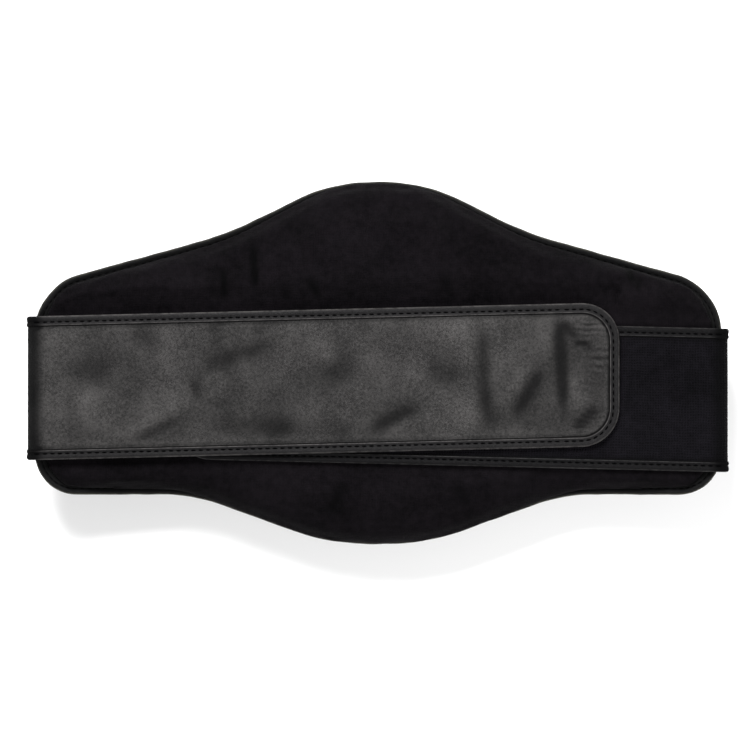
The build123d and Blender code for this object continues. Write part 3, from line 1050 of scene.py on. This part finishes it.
def leatherRelief(x, y, inset, s):  # what only the leather face does: folds, gathers and the round dent, with painted shade in its hollows
    inside = smoothStep(inset, 8 * mm, 20 * mm) * smoothStep(s, 0.008, 0.035)
    drop = strapRelief["foldGain"] * sum(creaseDepth(x, y, line) for line in strapLeatherFolds)
    puff = strapRelief["puff"] * smoothStep(inset, 8 * mm, 34 * mm)
    bulge = strapRelief["bulge"] * (0.75 * noiseAt(x * 27, y * 24, 7.7) + 0.5 * noiseAt(x * 13, y * 12, 4.6))
    crumpled = clamp(0.45 + noiseAt(x * 14, y * 14, 9.4))
    crumple = strapRelief["crumple"] * noiseAt(x * 62, y * 48, 3.1) * crumpled
    tip = smoothStep(x, strapRelief["gatherFrom"], strapRelief["gatherFrom"] + 24 * mm)
    phase = y * 960 + 9 * noiseAt(x * 40, y * 32, 0)
    gathers = strapRelief["gather"] * tip * math.sin(phase) * clamp(0.2 + 1.5 * noiseAt(x * 30, y * 45, 5))
    centreX, centreY = strapRelief["dentMiddle"]
    ring = math.hypot(x - centreX, y - centreY) / strapRelief["dentRadius"]
    dome = strapRelief["dentRise"] * smoothStep(1 - ring, 0, 0.5)
    dent = dome - strapRelief["dentRing"] * humpAt(ring, 1, 0.2)
    level = bulge - drop + crumple + dent
    rise = inside * (puff + level) + gathers * smoothStep(inset, 9 * mm, 12 * mm)
    # painted shade: lower places, the gathers' hollows and the tip are darker
    hollow = -level - 4 * gathers + strapRelief["tipShade"] * tip
    shade = smoothStep(hollow, -strapRelief["lightest"], strapRelief["darkest"])
    return max(rise, strapRelief["lowest"]), shade * (0.4 + 0.6 * inside)


def longLift(x, y):  # the whole strap's gentle waves, always upwards
    wave = strapRelief["longWave"] * clamp(0.5 + noiseAt(x * 7, y * 5, 2.1))
    return wave * smoothStep(closedStraps["longTip"] - x, 0, 60 * mm)


def loopLift(x, y):  # only where the long strap doesn't lie on it
    wave = strapRelief["loopWave"] * clamp(0.5 + noiseAt(x * 12, y * 9, 3.3))
    return wave * smoothStep(x - closedStraps["longTip"], 8 * mm, 22 * mm)


longTip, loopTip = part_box("grab_tab_binding")[1].x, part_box("loop_strap_binding")[0].x
longStrap = strapSettings("long_strap", -1, longTip, 8 * mm, longLift)
loopStrap = strapSettings("loop_strap", 1, loopTip, 6 * mm, loopLift)
tabX = joints["grab_tab_lift"]["pos_m"][0] - 0.5 * mm
tabSplit = tabX + longStrap["hingeX"]
faceLayer, liningLayer = (0.9 * mm, 3 * mm), (0.0, 0.8 * mm)


def panelPiece(name, strap, material, span, layer, tipped, relief=None, step=3 * mm):
    bm = strapPanel(span[0], span[1], layer, step, tipped)
    layOnStrap(bm, strap, relief)
    return pieceFromBmesh(bm, name, material, subdivide=1)


hookPatch = {
    "base": 0.5 * mm,
    "corner": 4 * mm,
    "pitch": (2.8 * mm, 2.3 * mm),
    "margin": 3 * mm,
    "wire": 0.3 * mm,
    "stem": 0.5 * mm,
    "curl": 0.25 * mm,
    "turn": 2.8,  # how far the curl goes round, in radians
}


def makeHook():  # one small hook, stem down and curled back
    bm = bmesh.new()
    bmesh.ops.create_grid(bm, x_segments=1, y_segments=1, size=hookPatch["wire"] / 2)
    stem = bmesh.ops.extrude_face_region(bm, geom=bm.faces[:])
    lower = [item for item in stem["geom"] if isinstance(item, bmesh.types.BMVert)]
    bmesh.ops.translate(bm, verts=lower, vec=(0, 0, -hookPatch["stem"]))
    end = [item for item in stem["geom"] if isinstance(item, bmesh.types.BMFace)]
    centre = (hookPatch["curl"], 0, -hookPatch["stem"])
    curled = {"cent": centre, "axis": (0, 1, 0), "angle": -hookPatch["turn"], "steps": 4}
    bmesh.ops.spin(bm, geom=end, use_duplicate=False, **curled)
    mesh = bpy.data.meshes.new("hook")
    bm.to_mesh(mesh)
    bm.free()
    return mesh


def buildHookPatch():
    low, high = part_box("hook_patch")
    size, middle = high - low, (low + high) / 2
    bm = bmesh.new()
    base = Matrix.Translation((middle.x, middle.y, high.z - hookPatch["base"] / 2))
    base = base @ Matrix.Diagonal((size.x, size.y, hookPatch["base"], 1))
    bmesh.ops.create_cube(bm, size=1.0, matrix=base)
    upright = [edge for edge in bm.edges if abs(edge.verts[0].co.z - edge.verts[1].co.z) > 0.1 * mm]
    bmesh.ops.bevel(
        bm, geom=upright, offset=hookPatch["corner"], segments=5, profile=0.5, affect="EDGES", material=-1,
    )
    hook = makeHook()
    columns = int((size.x - 2 * hookPatch["margin"]) / hookPatch["pitch"][0])
    rows = int((size.y - 2 * hookPatch["margin"]) / hookPatch["pitch"][1])
    for i in range(columns):
        for j in range(rows):
            x = low.x + hookPatch["margin"] + (i + 0.5 * (j % 2)) * hookPatch["pitch"][0]
            y = low.y + hookPatch["margin"] + j * hookPatch["pitch"][1]
            facing = Vector((1 if j % 4 < 2 else -1, 0.35 * noiseAt(x * 900, y * 900, 0), 0))
            addCopy(bm, hook, Vector((x, y, high.z - hookPatch["base"])), facing)
    return pieceFromBmesh(bm, "hookPatch", hookPlastic)


hooks = buildHookPatch()
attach(hooks, "long_strap")
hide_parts("hook_patch")
print("hook tape made", len(hooks.data.polygons))

lap = 1.6 * mm  # the two bindings run this far past the tab's bend line, one inside the other
tabBend = 22.5 * mm  # the tab bends over this length
longSpan, tabSpan = (longStrap["rootEnd"], tabSplit), (tabSplit, longStrap["long"])
longBound, tabBound = (longSpan[0], tabSplit + lap), (tabSplit - lap, tabSpan[1])
loopSpan = (loopStrap["rootEnd"], loopStrap["long"])
longLined, loopLined = (10 * mm, tabSplit), (10 * mm, loopSpan[1])
strapPieces = [
    (panelPiece("longStrapFace", longStrap, strapLeather, longSpan, faceLayer, False, leatherRelief),
     ["long_strap_face", "long_strap_core", "long_strap_fold"], "strap_leather", "long"),
    (panelPiece("longStrapLining", longStrap, liningFabric, longLined, liningLayer, False, step=6 * mm),
     ["long_strap_lining"], "strap_lining", "long"),
    (buildBinding("longStrapBinding", longStrap, edgeLeather, *longBound, False),
     ["long_strap_binding"], "edge_leather", "long"),
    (buildStrapStitches("longStrapStitches", longStrap, 0.0, tabSplit, False),
     ["long_strap_thread"], "thread", "long"),
    (panelPiece("grabTabFace", longStrap, strapLeather, tabSpan, faceLayer, True, leatherRelief, 1.5 * mm),
     ["grab_tab_face", "grab_tab_core"], "strap_leather", "tab"),
    (panelPiece("grabTabLining", longStrap, liningFabric, tabSpan, liningLayer, True),
     ["grab_tab_lining"], "strap_lining", "tab"),
    (buildBinding("grabTabBinding", longStrap, edgeLeather, *tabBound, True),
     ["grab_tab_binding"], "edge_leather", "tab"),
    (buildStrapStitches("grabTabStitches", longStrap, *tabSpan, True),
     ["grab_tab_thread"], "thread", "tab"),
    (panelPiece("loopStrapFace", loopStrap, loopPile, loopSpan, faceLayer, True),
     ["loop_strap_face", "loop_strap_core", "loop_strap_fold"], "loop_pile", "loop"),
    (panelPiece("loopStrapLining", loopStrap, liningFabric, loopLined, liningLayer, True, step=6 * mm),
     ["loop_strap_lining"], "strap_lining", "loop"),
    (buildBinding("loopStrapBinding", loopStrap, loopEdgeLeather, *loopSpan, True),
     ["loop_strap_binding"], "edge_leather", "loop"),
    (buildStrapStitches("loopStrapStitches", loopStrap, 0.0, loopSpan[1], True),
     ["loop_strap_thread"], "thread", "loop"),
]


def foldBend(strap):  # where the strap's fold starts to turn, and where it turns all the way
    x = strap["side"] * strap["hingeX"]
    start, end = strap["root"] + strapSection["thick"] / 2, strap["base"] - strapSection["bendUnder"]
    return (x, 0, start), (x, 0, end)


tabZ = joints["grab_tab_lift"]["pos_m"][2]
bends = {
    "long": ("pad", "long_strap", *foldBend(longStrap)),
    "loop": ("pad", "loop_strap", *foldBend(loopStrap)),
    "tab": ("long_strap", "grab_tab", (tabX, 0, tabZ), (tabX + tabBend, 0, tabZ)),
}
for piece, nodes, slotName, kind in strapPieces:
    bodyA, bodyB, start, end = bends[kind]
    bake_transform(piece, bodyA, bodyB, start=start, end=end)
    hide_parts(*nodes)
    print(piece.name, "made", len(piece.data.polygons))


for node, material in (
    ("impact_foam", hardFoam), ("shock_foam", softFoam),
    ("left_anchor_patch", webbing), ("right_anchor_patch", webbing),
):
    holder = frame["nodes"][node]
    if not holder.material_slots:
        holder.data.materials.append(material)
    for slotOfNode in holder.material_slots:
        slotOfNode.material = material


studio = {
    "lens": 180.0,
    "sensor": 36.0,
    "seenWide": 0.7086,
    "aim": (-0.0028, -0.0113, 0.080),
    "room": 0.30,
    # place, size, power
    "keyLight": ((-0.45, 1.40, 1.75), 0.9, 104.0),
    "fillLight": ((0.9, -1.2, 1.7), 1.2, 50.0),
}


def buildStudio():
    bm = bmesh.new()
    under = Matrix.Translation((0, 0, -0.3 * mm))  # just clear of the strike face
    bmesh.ops.create_grid(bm, x_segments=1, y_segments=1, size=6, matrix=under)
    floorMaterial = bpy.data.materials.new("paleFloor")
    floorMaterial.use_nodes = True
    shader = floorMaterial.node_tree.nodes["Principled BSDF"]
    shader.inputs["Base Color"].default_value = (0.9, 0.9, 0.9, 1)
    shader.inputs["Roughness"].default_value = 0.9
    pieceFromBmesh(bm, "floor", floorMaterial)
    world = bpy.data.worlds.new("softRoom")
    world.use_nodes = True
    background = world.node_tree.nodes["Background"]
    background.inputs["Color"].default_value = (1, 1, 1, 1)
    background.inputs["Strength"].default_value = studio["room"]
    scene.world = world
    scene.view_settings.view_transform = "Standard"
    for name in ("keyLight", "fillLight"):
        place, size, power = studio[name]
        light = bpy.data.lights.new(name, "AREA")
        light.size = size
        light.energy = power
        lamp = bpy.data.objects.new(name, light)
        lamp.location = place
        lamp.rotation_euler = (-Vector(place)).to_track_quat("-Z", "Y").to_euler()
        scene.collection.objects.link(lamp)
    lensData = bpy.data.cameras.new("camera")
    lensData.lens = studio["lens"]
    lensData.sensor_width = studio["sensor"]
    lensData.clip_end = 50
    camera = bpy.data.objects.new("camera", lensData)
    distance = studio["seenWide"] * studio["lens"] / studio["sensor"]
    camera.location = Vector(studio["aim"]) + Vector((0, 0, distance))
    scene.collection.objects.link(camera)
    scene.camera = camera


buildStudio()
